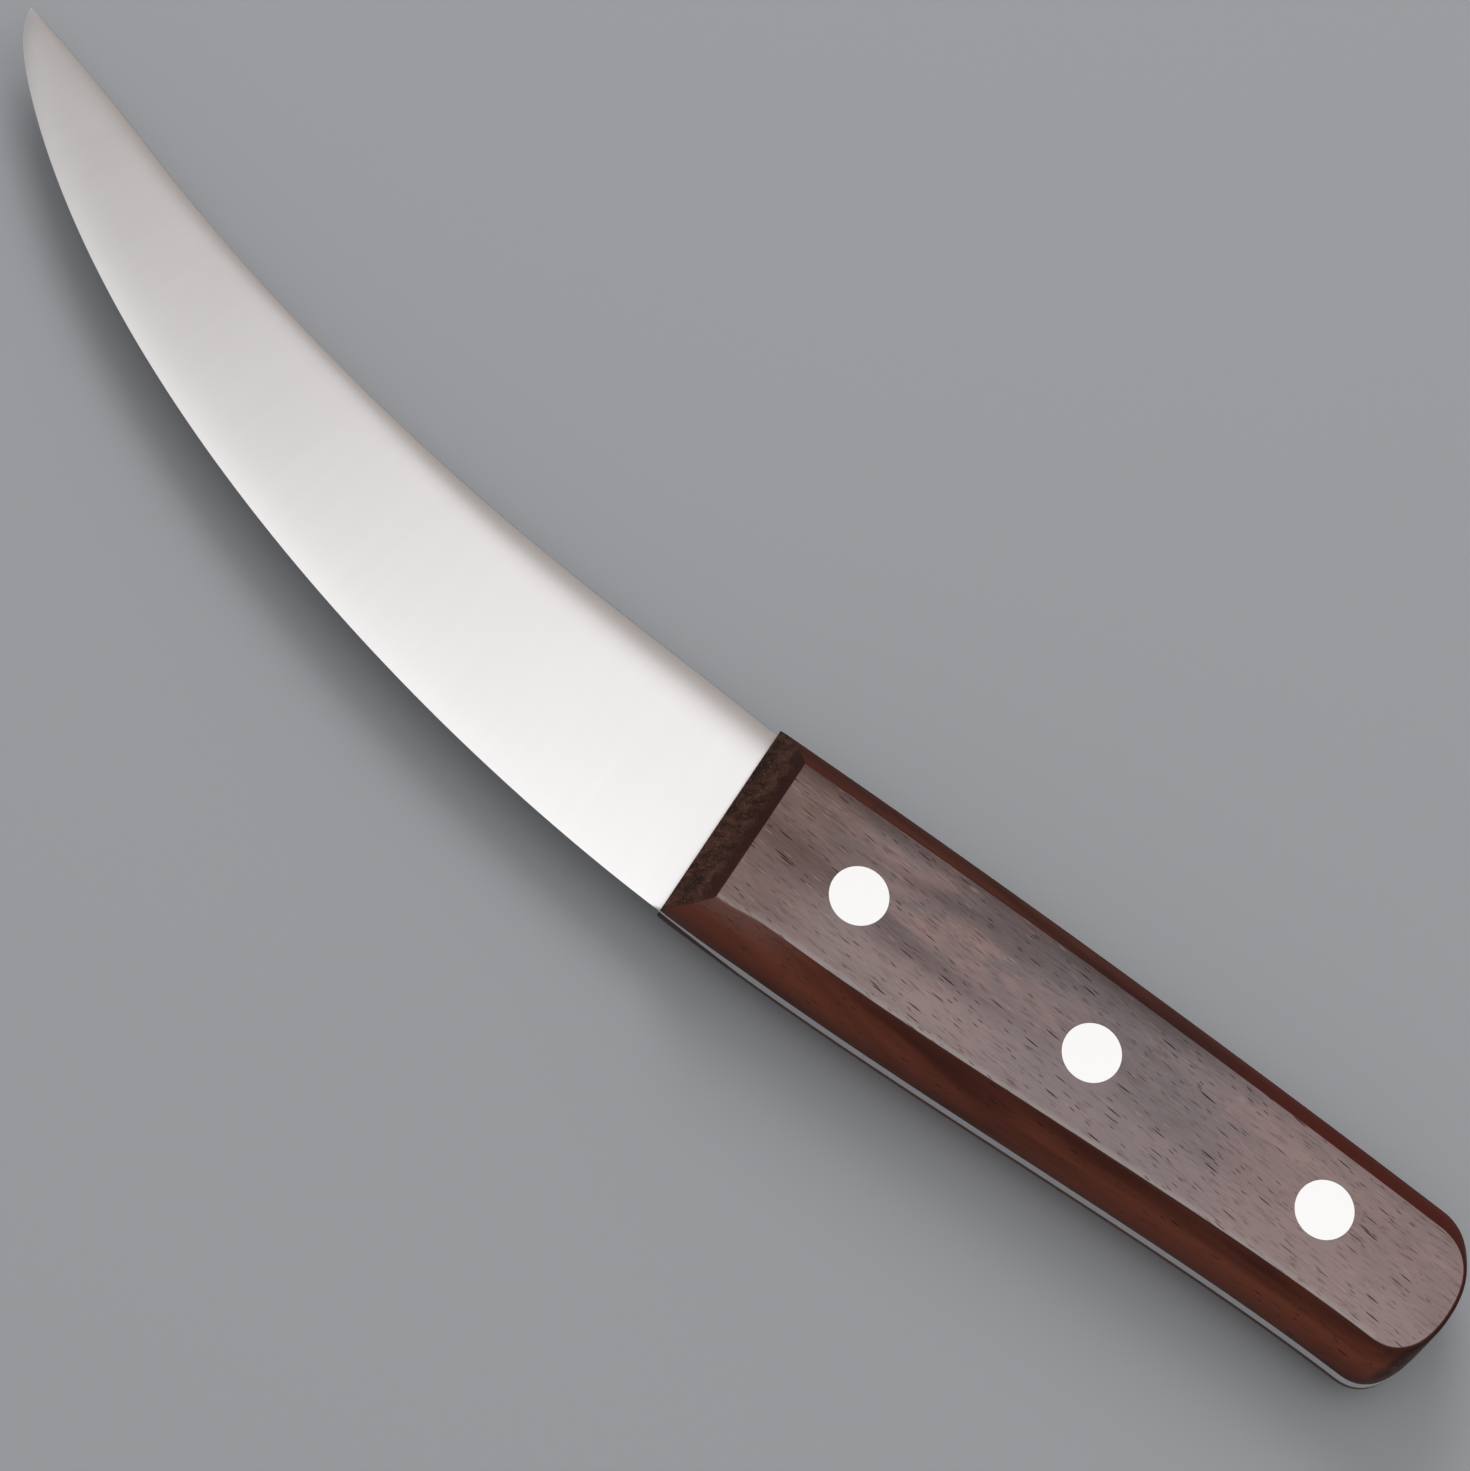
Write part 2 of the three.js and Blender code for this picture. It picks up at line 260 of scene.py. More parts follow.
def handle_lines(front=0.0, top=0.0, bottom=0.0, butt=0.0):
    """The handle's top, bottom and butt lines, drawn in on each side by its own amount. The butt's
    corners go on in the direction of the lines that they end, so there is no kink."""
    corner, end = HANDLE_LENGTH - BUTT_CORNER, HANDLE_LENGTH - BUTT_TRIM - butt
    high, low = MID - TOP_DROP - top, -MID - BOTTOM_DROP + bottom
    apex = -(TOP_DROP + BOTTOM_DROP) / 2
    bend = np.array([HANDLE_LENGTH * BEND_AT, MID - TOP_DROP * BEND_DROP - top])
    belly = np.array([HANDLE_LENGTH * BELLY_AT, -MID - GRIP_BELLY + bottom])
    hollow = np.array([HANDLE_LENGTH * HOLLOW_AT, -MID + GRIP_HOLLOW - BOTTOM_DROP + bottom])
    top_end, bottom_end = np.array([corner, high]), np.array([corner, low])

    def onward(a, b):
        """The point past b in the direction from a, a share of the corner's depth away."""
        return b + (b - a) / np.linalg.norm(b - a) * CORNER_PULL * (end - corner)

    butt_line = [
        [bottom_end, onward(hollow, bottom_end), (end, lerp(apex, low, APEX_PULL)), (end, apex)],
        [(end, apex), (end, lerp(apex, high, APEX_PULL)), onward(bend, top_end), top_end],
    ]
    top_line = [(front, MID - top), bend, top_end]
    bottom_line = [(front, -MID + bottom), belly, hollow, bottom_end]
    return top_line, bottom_line, butt_line


print("handle ends at x =", handle_lines()[2][0][3][0])

# %% [markdown]
# The steel
#
# Blade and tang are one piece of plate. The blade's cross-section is a slim wedge, a little
# convex as a belt leaves it, that swells from a fine edge to the back. The back is rounded over a
# band that is wide at the heel, slim at mid blade and wide again at the tip, and at mid blade a
# narrow flat is left along its middle. Behind the handle's front the wedge runs out and the plate
# is full and square. We could bend a box and bevel it, but a grid of columns from edge to back
# says all of this in one formula: the place of a point is a share of the way across, and its
# height is half the thickness there.

# %% One side of the steel
STOCK, TIP_STOCK = 2.0, 1.0
BACK_BAND = [[7.2], [6.0], [0.2], [6.0]]  # controls of its width, from the heel to the tip
FLAT_BACK, FLAT_BACK_AT, FLAT_BACK_REACH = 0.4, 0.58, 0.26  # how much, and where on the way
EDGE_LAND, EDGE_BEVEL, EDGE_SWELL = 0.36, 0.35, 2.6
CONVEX = 2.6
MOST_STOCK, MOST_BEVEL, MOST_BAND = 0.15, 0.1, 0.8  # at most these shares of the blade's height
LEAST_HEIGHT = 1e-6
GRIND_LEAD, GRIND_TAIL, BACK_TAIL = 8.0, 14.0, 6.0
BEVEL_LEVELS, FACE_LEVELS, BAND_LEVELS = 3, 24, 16
CORNER_SOFTNESS = 4.0
DIGITS = 12


def soft_least(a, b):
    """The lesser of two positive values, with a soft corner where they are alike."""
    return (a ** -CORNER_SOFTNESS + b ** -CORNER_SOFTNESS) ** (-1 / CORNER_SOFTNESS)


def steel_side(edge, back, tip_share):
    """Shares across and half thicknesses of columns from edge points to back points. The half
    thickness is land (1 - exp(-distance / swell)) + (full - land) (1 - (1 - share) ** convex).
    Through the band it is also multiplied by the cosine of an angle whose sine is the way through
    the band, and where the back is partly square, only by that much less of the cosine."""
    height = np.maximum(np.linalg.norm(back - edge, axis=1), LEAST_HEIGHT)[:, None]
    full = soft_least(lerp(STOCK, TIP_STOCK, tip_share[:, None]) / 2, height * MOST_STOCK)
    bevel = soft_least(EDGE_BEVEL / height, MOST_BEVEL)
    band = soft_least(bezier(BACK_BAND, tip_share) / height, MOST_BAND)
    run_out = np.clip((edge[:, :1] + GRIND_LEAD) / (GRIND_LEAD + GRIND_TAIL), 0, 1) ** 2
    land = lerp(np.minimum(EDGE_LAND / 2, full), full, run_out)
    from_flat = (tip_share[:, None] - FLAT_BACK_AT) / FLAT_BACK_REACH
    flat_back = FLAT_BACK * np.clip(1 - from_flat ** 2, 0, 1) ** 2
    square = np.clip(back[:, :1] / BACK_TAIL, 0, 1) + flat_back

    def swell(share):
        """Half the thickness at a share of the way across, before the back is rounded."""
        rise = lerp(1 - np.exp(-share * height / EDGE_SWELL), 1, run_out)
        return land * rise + (full - land) * (1 - (1 - share) ** CONVEX)

    way = np.linspace(0, 1, BEVEL_LEVELS, endpoint=False)[None]
    sharp = np.where(edge[:, :1] < 0, 0.0, land)
    bevel_z = lerp(sharp, swell(bevel), way)
    face_share = lerp(bevel, 1 - band, np.linspace(0, 1, FACE_LEVELS)[None])
    angle = np.linspace(0, np.pi / 2, BAND_LEVELS + 1)[None, 1:]
    band_share = 1 - band * (1 - np.sin(angle))
    band_z = swell(band_share) * lerp(np.round(np.cos(angle), DIGITS), 1, square)
    share = np.concatenate([bevel * way, face_share, band_share], axis=1)
    return share, np.concatenate([bevel_z, swell(face_share), band_z], axis=1)


print("width of the back's band at heel, middle and tip:", bezier(BACK_BAND, [0, 0.5, 1]).ravel())

# %% Columns of the steel
BLADE_COLUMNS, TAIL_COLUMNS, TANG_COLUMNS = 220, 16, 112
TIP_CROWDING = 1.4
tip_share = 1 - (np.arange(BLADE_COLUMNS) / BLADE_COLUMNS) ** TIP_CROWDING
tail = GRIND_TAIL / (HANDLE_LENGTH - BUTT_CORNER)
stations = np.concatenate([
    np.linspace(0, tail, TAIL_COLUMNS, endpoint=False), np.linspace(tail, 1, TANG_COLUMNS)])
top_line, bottom_line, butt_line = handle_lines()
edge = np.concatenate([paced(edge_line, tip_share), bezier(bottom_line, stations)])
back = np.concatenate([paced(back_line, tip_share), bezier(top_line, stations)])
share, half = steel_side(edge, back, np.concatenate([tip_share, np.zeros(len(stations))]))

flat = lerp(edge[:, None], back[:, None], share[..., None])
butt_share = np.linspace(0, 1, share.shape[1])
flat = np.concatenate([flat, paced(butt_line, butt_share)[None]])
half = np.concatenate([half, half[-1:]])
middle_steps = np.linalg.norm(np.diff(flat.mean(axis=1), axis=0), axis=1)
middle_run = np.concatenate([[0], np.cumsum(middle_steps)])
along = np.broadcast_to(middle_run[:, None], half.shape)
reach_across = np.linalg.norm(flat - flat[:, :1], axis=2)
carried = [half[..., None], along[..., None], reach_across[..., None]]
steel = np.concatenate([flat] + carried, axis=2)
tang = steel[BLADE_COLUMNS:]
print("steel grid", steel.shape, "thickest", 2 * half.max(), "mm")

# %% [markdown]
# Round holes in a grid
#
# Rivets go through the tang and sit in both scales, so these sheets need round holes. A boolean
# would cut them, at the price of slivers. Instead we take a square block of cells out of the grid
# and fill the gap with rings that turn from the block's border into a circle.

# %% Pierce a sheet
RIVET_DROP = 0.8
RIVET_PLACES = {"front": 21.3, "middle": 59.4, "rear": 97.5}
BLOCK = 6.4
RING_SHARES = np.array([0, 0.12, 0.35, 0.65, 1])[:, None, None]


def blocks_of(grid):
    """First and last column and level of the block round each rivet."""
    blocks = []
    for x in RIVET_PLACES.values():
        columns = np.flatnonzero(np.abs(grid[:, :, 0].mean(axis=1) - x) < BLOCK)
        heights = grid[columns[len(columns) // 2], :, 1]
        levels = np.flatnonzero(np.abs(heights + RIVET_DROP) < BLOCK)
        blocks.append((columns[0], columns[-1], levels[0], levels[-1]))
    return blocks


def pierce(grid, blocks, radius):
    """Patches of a sheet with a round hole at each rivet, and the holes' rims. The rings between
    a circle and the block's border are the shares of the way from the one to the other, along
    the border point's own direction from the middle."""
    keep = np.ones((grid.shape[0] - 1, grid.shape[1] - 1), bool)
    patches, rims = [], []
    for x, (a, b, c, d) in zip(RIVET_PLACES.values(), blocks):
        centre = np.array([x, -RIVET_DROP])
        keep[a:b, c:d] = False
        border = np.concatenate([
            grid[a:b, c], grid[b, c:d], grid[b:a:-1, d], grid[a, d:c - 1:-1]])
        way = border[:, :2] - centre
        rim = border.copy()
        rim[:, :2] = centre + radius * way / np.linalg.norm(way, axis=1)[:, None]
        patches.append(whole(lerp(rim[None], border[None], RING_SHARES)))
        rims.append(rim)
    return [(grid, keep)] + patches, rims


def risen(rim, z):
    """A rim lifted to one height."""
    return np.concatenate([rim[:, :2], np.full((len(rim), 1), z), rim[:, 3:]], axis=1)


print("holes at", RIVET_PLACES, "mm behind the front")

# %% Sew the blade
TUBE_RADIUS = 2.5
TUBE_PLAY = 0.05
upper, rims = pierce(steel, blocks_of(steel), TUBE_RADIUS + TUBE_PLAY)


def below(line):
    """A line of the steel's points on the other side of its middle plane."""
    return line * np.array([1, 1, -1, 1, 1])


def wall(low, high):
    """A patch that stands between two lines of points."""
    return whole(np.stack([low, high], axis=1))


bottom_edge, top_edge, butt_edge = steel[:, 0], steel[:, -1], steel[-1]
walls = [
    wall(below(bottom_edge), bottom_edge),
    wall(top_edge, below(top_edge)),
    wall(below(butt_edge), butt_edge)]
bores = [whole(np.stack([below(rim), rim])) for rim in rims]
blade_patches = upper + turned_over(upper) + walls + bores
blade = make_piece("blade_and_tang", blade_patches, "blade", "grind")

# %% [markdown]
# The scales
#
# A scale is a board glued to the tang. Its front is cut off at a slope, its long sides start
# upright and lean in more and more until they meet the flat outer face in a crisp ridge, and
# round the butt it only has its edge broken. Seen as layers, every height has the same outline,
# drawn in by another amount on each side. So the board is a stack of outlines. Cutting a block
# with planes would miss the way the sides curl. Near the flat face the drawing-in follows a small
# arc, because a real ridge is never perfectly sharp and that is where it catches light.

# %% Layers of a scale
SCALE_THICKNESS = 8.0
FRONT_BEVEL, FRONT_LIP = 5.2, 1.2
TOP_CHAMFER, BOTTOM_CHAMFER, FRONT_CHAMFER = 4.7, 4.12, 3.0
CORNER_RUN = 5.0
BUTT_ROUND = 0.8
SIDE_CURL = 1.8
FRONT_RIDGE, TOP_RIDGE, BOTTOM_RIDGE = 0.25, 0.5, 0.5
FIRST_LAYER, SIDE_LAYERS, ROUND_LAYERS = 0.5, 9, 15


def drawn_in(reach, height, ridge, start=0.0, curl=1.0):
    """How far a side is drawn in at a height: reach times the share of the height above its start,
    to the power of its curl, and from there a tangent arc of the ridge's radius into the flat."""
    rise = SCALE_THICKNESS - start
    slope = np.arctan(rise / (reach * curl))
    down = SCALE_THICKNESS - height
    lean = reach * np.clip((height - start) / rise, 0, 1) ** curl
    bow = np.sqrt(np.maximum(ridge ** 2 - (ridge - down) ** 2, 0))
    arc = reach + ridge * np.tan(slope / 2) - bow
    return np.where(down < ridge * (1 - np.cos(slope)), arc, lean)


def scale_layer(height):
    """A grid over the handle's outline at a height: columns from the bottom line to the top line
    at the tang's own shares, and the butt line as the last column. Towards the front corner the
    bottom is drawn in less, by a bell curve. How far a point lies from the bottom line and from
    the top line rides behind its coordinates."""
    over = max(height - SCALE_THICKNESS + BUTT_ROUND, 0)
    bottom = drawn_in(BOTTOM_CHAMFER, height, BOTTOM_RIDGE, curl=SIDE_CURL)
    less = bottom - drawn_in(FRONT_CHAMFER, height, BOTTOM_RIDGE, curl=SIDE_CURL)
    top_line, bottom_line, butt_line = handle_lines(
        front=drawn_in(FRONT_BEVEL, height, FRONT_RIDGE, start=FRONT_LIP),
        top=drawn_in(TOP_CHAMFER, height, TOP_RIDGE, curl=SIDE_CURL),
        bottom=bottom,
        butt=BUTT_ROUND - np.sqrt(max(BUTT_ROUND ** 2 - over ** 2, 0)))
    low, high = bezier(bottom_line, stations), bezier(top_line, stations)
    low[:, 1] -= less * np.exp(-((low[:, 0] - low[0, 0]) / CORNER_RUN) ** 2)
    layer = lerp(low[:, None], high[:, None], share[BLADE_COLUMNS:, :, None])
    layer = np.concatenate([layer, paced(butt_line, butt_share)[None]])
    from_bottom = np.linalg.norm(layer - layer[:, :1], axis=2, keepdims=True)
    from_top = np.linalg.norm(layer - layer[:, -1:], axis=2, keepdims=True)
    z = np.full_like(from_bottom, STOCK / 2 + height)
    return np.concatenate([layer, z, from_bottom, from_top], axis=2)


side_top = SCALE_THICKNESS - BUTT_ROUND
heights = np.concatenate([
    [FIRST_LAYER, FRONT_LIP],
    np.linspace(FRONT_LIP, side_top, SIDE_LAYERS)[1:],
    SCALE_THICKNESS - BUTT_ROUND * np.linspace(1, 0, ROUND_LAYERS)[1:] ** 2])
layers = [scale_layer(height) for height in heights]
face_depth = np.ptp(layers[-1][:, :, 1], axis=1).max()
print("scale:", len(layers), "layers, flat face", face_depth, "mm deep")

# %% Sew the scales
HEAD_RADIUS = 4.25
HEAD_DEPTH = 2.2
HEAD_PLAY = 0.01
SEAT = SCALE_FACE - HEAD_DEPTH


def rim_of(grid):
    """The border of a grid as one closed line, anticlockwise from above."""
    return np.concatenate([grid[:, 0], grid[-1, 1:], grid[-2::-1, -1], grid[0, -2::-1]])


def bored(head, tube):
    """The three walls of a stepped hole: round the head, its seat, and round the tube."""
    return [
        whole(np.stack([risen(head, SEAT), head])),
        whole(np.stack([risen(tube, SEAT), risen(head, SEAT)])),
        whole(np.stack([tube, risen(tube, SEAT)]))]


bed_from_top = np.linalg.norm(tang[:, :, :2] - tang[:, -1:, :2], axis=2, keepdims=True)
bed = np.concatenate([tang[:, :, [0, 1, 2, 4]], bed_from_top], axis=2)
stack = np.stack([rim_of(bed)] + [rim_of(layer) for layer in layers], axis=1)
blocks = blocks_of(layers[-1])
outer_face, head_rims = pierce(layers[-1], blocks, HEAD_RADIUS + HEAD_PLAY)
inner_face, tube_rims = pierce(bed, blocks, TUBE_RADIUS + TUBE_PLAY)
left_patches = outer_face + [(grid[::-1], keep[::-1]) for grid, keep in inner_face]
left_patches.append(whole(stack))
for head, tube in zip(head_rims, tube_rims):
    left_patches += bored(head, tube)
right_patches = turned_over(left_patches)
left_scale = make_piece("left_wood_scale", left_patches, "left_scale", "lie")
right_scale = make_piece("right_wood_scale", right_patches, "right_scale", "lie")

# %% [markdown]
# The rivets
#
# Each rivet is two turned parts: a head with a tube, pressed over a head with a pin. Once they are
# set, the heads are ground flush with the wood. A cylinder would show the same disc, but then the
# meshes would say nothing about how the knife is held together. Something turned is a profile
# carried round an axis, so one formula makes both: the point at a turn is the profile's radius,
# turned, at the profile's height. The heads' rims are broken by a small arc.

# %% Turn the rivets
TURNS = 96
PIN_RADIUS = 1.6
PIN_PLAY = 0.1
CROWN_RADII = (0, 2.1, 4.0, 4.17)
RIM = 0.05
RIM_FOOT = 8.9
END_GAP = 0.6


def turned(profile, x):
    """A patch of a profile of radius and height carried round the rivet's axis at x. Radius and
    height also ride behind the coordinates."""
    radius, z = np.asarray(profile, float).T[:, :, None]
    angle = np.linspace(0, 2 * np.pi, TURNS + 1)[None]
    cosine, sine = np.cos(angle), np.round(np.sin(angle), DIGITS)
    radius, z = radius + 0 * angle, z + 0 * angle
    places = [x + radius * cosine, -RIVET_DROP + radius * sine, z, radius, z]
    return whole(np.stack(places, axis=2))


bend = np.radians([0, 30, 60, 90])
rim_arc = list(zip(
    HEAD_RADIUS - RIM + RIM * np.sin(bend), SCALE_FACE - RIM + RIM * np.cos(bend)))
crown = [(radius, SCALE_FACE) for radius in CROWN_RADII] + rim_arc
crown += [(HEAD_RADIUS, RIM_FOOT), (HEAD_RADIUS, SEAT)]
end = END_GAP - SEAT
bore = PIN_RADIUS + PIN_PLAY
tube_half = crown + [(TUBE_RADIUS, SEAT), (TUBE_RADIUS, end), (bore, end), (bore, SEAT), (0, SEAT)]
pin_half = crown + [(PIN_RADIUS, SEAT), (PIN_RADIUS, end), (0, end)]
rivets = []
for place, x in RIVET_PLACES.items():
    halves = {
        "tube": ([turned(tube_half, x)], "female"),
        "pin": (turned_over([turned(pin_half, x)]), "male")}
    for half_name, (patches, sort) in halves.items():
        rivets.append(make_piece(
            f"{place}_rivet_{half_name}", patches, f"{place}_rivet_{sort}", "turning"))

# %% [markdown]
# Small tools for finishes
#
# A finish is a graph of nodes. Drawing it by hand is quick to try and slow to read, so we write it.
# That is shorter with a few helpers: one makes a node and fills or links its sockets, one mixes two
# colours, one lays several colours over a ground, one turns a stretch of numbers into a soft
# mask, one multiplies, and one starts a material.

# %% Node helpers
def node(tree, kind, inputs, **settings):
    """A shader node with its settings, its sockets filled with numbers or linked to sockets."""
    made = tree.nodes.new("ShaderNode" + kind)
    for key, value in settings.items():
        setattr(made, key, value)
    for key, value in inputs.items():
        if isinstance(value, bpy.types.NodeSocket):
            tree.links.new(value, made.inputs[key])
        else:
            made.inputs[key].default_value = value
    return made.outputs


def solid(colour):
    """A colour with full cover; a socket stays as it is."""
    return colour if isinstance(colour, bpy.types.NodeSocket) else (*colour, 1.0)


def mixed(tree, share, a, b, mode="MIX"):
    """Colour a going over to colour b by a share."""
    sockets = {0: share, 6: solid(a), 7: solid(b)}
    return node(tree, "Mix", sockets, data_type="RGBA", blend_type=mode)[2]


def laid_over(tree, ground, coats):
    """A ground with coats of colour laid over it in their order, each by its own share."""
    for share, colour in coats:
        ground = mixed(tree, share, ground, colour)
    return ground


def mask(tree, value, low, high, to=(0.0, 1.0)):
    """A soft step: the first of two results below low, the second above high."""
    sockets = {"Value": value, "From Min": low, "From Max": high, "To Min": to[0], "To Max": to[1]}
    return node(tree, "MapRange", sockets, interpolation_type="SMOOTHSTEP")[0]


def times(tree, a, b):
    """The product of two numbers."""
    return node(tree, "Math", {0: a, 1: b}, operation="MULTIPLY")[0]


def finish(name):
    """A new material, its node tree and its shader."""
    material = bpy.data.materials.new(name)
    material.use_nodes = True
    return material, material.node_tree, material.node_tree.nodes["Principled BSDF"]


print("node helpers ready")

# %% [markdown]
# Ground steel
#
# The blade is stainless steel, ground across its width by a fine belt and left satin. Such a face
# is bright but soft: thousands of fine furrows, too shallow to see one by one, spread each
# reflection. So the shader is a metal with middling roughness, and noise that is stretched across
# the blade gives the furrows in tone and sheen, the wider passes of the belt in a hair of relief,
# and clouds where the belt pressed more. The stretch follows the blade's own curve, because it
# reads the numbers along and across that the mesh carries. The shader's anisotropy would spread
# reflections too, but it needs tangents that the rounded back can't give evenly.

# %% Finish the blade
DULL_PASS, BRIGHT_PASS = (0.861, 0.850, 0.863), (0.876, 0.866, 0.879)
CLOUD_TONE, FURROW_TONE = (0.873, 0.859, 0.870), (0.846, 0.838, 0.845)
GRIND_DEPTH = 0.00002


def grind_noise(tree, lie, along, across, detail):
    """Noise with its own scales along and across the blade, in cycles per millimetre."""
    stretched = node(tree, "Mapping", {"Vector": lie, "Scale": (along, across, 1.0)})[0]
    sockets = {"Vector": stretched, "Scale": 1.0, "Detail": detail, "Roughness": 0.6}
    return node(tree, "TexNoise", sockets)[0]


ground_steel, tree, shader = finish("ground_steel")
lie = node(tree, "Attribute", {}, attribute_name="grind")[1]
furrows = grind_noise(tree, lie, 2.4, 0.05, 1.5)
passes = grind_noise(tree, lie, 0.30, 0.025, 2.0)
cloud = grind_noise(tree, lie, 0.03, 0.05, 2.0)
tone = mixed(tree, mask(tree, passes, 0.3, 0.7), DULL_PASS, BRIGHT_PASS)
tone = laid_over(tree, tone, [
    (mask(tree, cloud, 0.35, 0.65, (0.0, 0.35)), CLOUD_TONE),
    (mask(tree, furrows, 0.3, 0.7, (0.0, 0.2)), FURROW_TONE)])
tree.links.new(tone, shader.inputs["Base Color"])
sheen = node(tree, "Math", {
    0: mask(tree, furrows, 0.25, 0.75, (0.283, 0.291)),
    1: mask(tree, cloud, 0.3, 0.7, (-0.004, 0.008))})[0]
tree.links.new(sheen, shader.inputs["Roughness"])
waves = node(tree, "Bump", {"Strength": 0.2, "Distance": GRIND_DEPTH, "Height": passes})[0]
relief = node(tree, "Bump", {
    "Strength": 0.006, "Distance": GRIND_DEPTH, "Height": furrows, "Normal": waves})[0]
tree.links.new(relief, shader.inputs["Normal"])
shader.inputs["Metallic"].default_value = 1.0
blade.data.materials.append(ground_steel)
print("finish:", ground_steel.name, len(tree.nodes), "nodes")

# %% [markdown]
# Rosewood
#
# The scales are rosewood: red-brown, with darker bands, and full of pores that show along the grain
# as short dark scratches and on end grain as dots. A pattern could be laid on each face by itself,
# but one block of wood in space gives all faces at once: the grain runs along the handle, a little
# askew, and every noise is stretched that way, so a face that cuts across the grain shows dots by
# itself. Where the handle was sawn out of the plank decides which bands it shows, so the wide
# bands and blotches have a place in the plank.
# The flat faces were sanded flush with the rivets, which leaves them paler and more matt. The
# leaning sides keep their oil and look deeper, the upper ones duller than the lower ones, and the
# end grain has drunk the most oil. Those places follow the surface's direction, so we measure
# the normals once and hand them to the material as an attribute. The upper sides are also
# darkened by painted shade.

# %% Measure which way the wood faces
HOLE_MARGIN = 0.2
FLAT_ENOUGH = 0.99


def mark_wood(piece):
    """Stores two numbers for each point, from its normal: flatness, which is 1 on the flat faces,
    and lean along the handle, which is high on the sloping front and at the butt. The rivet holes'
    walls would tilt the normals at their rims, so all points near a rivet count as flat."""
    mesh = piece.data
    normal = np.zeros(len(mesh.vertices) * 3, np.float32)
    mesh.vertices.foreach_get("normal", normal)
    normal = np.abs(normal.reshape(-1, 3))
    place = np.zeros(len(mesh.vertices) * 3, np.float32)
    mesh.vertices.foreach_get("co", place)
    centres = np.array([(x, -RIVET_DROP) for x in RIVET_PLACES.values()])
    apart = place.reshape(-1, 1, 3)[:, :, :2] / MM - shift[:2] - centres
    hole = np.linalg.norm(apart, axis=2).min(axis=1) < HEAD_RADIUS + HOLE_MARGIN
    normal[hole] = (0, 0, 1)
    marks = np.stack([normal[:, 2], normal[:, 0], np.zeros(len(normal))], axis=1)
    attribute = mesh.attributes.new("facing", "FLOAT_VECTOR", "POINT")
    attribute.data.foreach_set("vector", marks.astype(np.float32).ravel())
    on_flats = (normal[:, 2] > FLAT_ENOUGH).mean()
    print(piece.name, "share of points on the flats: %.2f" % on_flats)


for scale in (left_scale, right_scale):
    mark_wood(scale)

# %% The wood's grain and pores
PLANK_ANGLE, PLANK_TILT = 4.5, 2.0
SAWN_HERE = (0.0, 0.0, 0.0)
BANDS_SAWN = (512.4, 90.3, -18.1)
BLOTCHES_SAWN = (-320.6, -273.2, 11.9)
MM_PER_METRE = (1000.0, 1000.0, 1000.0)
PORE_FLATNESS = 0.6
CHANCE_BORDER = 0.02

rosewood, tree, shader = finish("rosewood")
object_place = node(tree, "TexCoord", {})["Object"]


def askew(angle, sawn=SAWN_HERE):
    """The place in the plank in millimetres, turned so that the grain runs at an angle to the
    handle. Sawn is where in the plank the handle was cut out: along, across and through the grain."""
    return node(tree, "Mapping", {
        "Vector": object_place, "Scale": MM_PER_METRE, "Location": sawn,
        "Rotation": (0.0, radians(PLANK_TILT), radians(angle))})[0]


def wood_noise(along, across, detail, rough=0.55, distortion=0.0, sawn=SAWN_HERE):
    """Noise in the askew block of wood, with scales along and across the grain in cycles per
    millimetre."""
    stretched = node(tree, "Mapping", {
        "Vector": askew(PLANK_ANGLE, sawn), "Scale": (along, across, across)})[0]
    return node(tree, "TexNoise", {
        "Vector": stretched, "Scale": 1.0, "Detail": detail, "Roughness": rough,
        "Distortion": distortion})[0]


def pores(angle, along, across, low, high, chance):
    """Short strokes: cells stretched along the grain, each with a spot at its middle that fades
    from low to high, and only as many of them as chance lets through."""
    stretched = node(tree, "Mapping", {
        "Vector": askew(angle), "Scale": (along, across, PORE_FLATNESS * across)})[0]
    cell = node(tree, "TexVoronoi", {"Vector": stretched, "Scale": 1.0})
    draw = node(tree, "SeparateColor", {0: cell[1]})[0]
    lucky = mask(tree, draw, chance, chance + CHANCE_BORDER, (1.0, 0.0))
    return times(tree, mask(tree, cell[0], low, high, (1.0, 0.0)), lucky)


bands = wood_noise(0.014, 0.11, 3.0, distortion=0.5, sawn=BANDS_SAWN)
blotches = wood_noise(0.08, 0.20, 2.5, rough=0.5, distortion=0.9, sawn=BLOTCHES_SAWN)
fibres = wood_noise(0.35, 3.0, 3.0, rough=0.6)
mottle = wood_noise(0.2, 0.5, 5.0, rough=0.7, distortion=0.6)
flecks = wood_noise(0.9, 3.4, 2.0, rough=0.65)
long_pores = pores(6.0, 0.14, 1.9, 0.12, 0.23, 0.42)
short_pores = times(tree, pores(9.0, 0.36, 2.4, 0.12, 0.26, 0.46), 0.75)
pale_streaks = pores(7.0, 0.22, 2.6, 0.10, 0.24, 0.35)
crowd = mask(tree, wood_noise(0.05, 0.16, 2.0), 0.36, 0.58, (0.6, 1.0))
darker = node(tree, "Math", {0: long_pores, 1: short_pores}, operation="MAXIMUM")[0]
pore = times(tree, darker, crowd)
print("figure:", len(tree.nodes), "nodes")
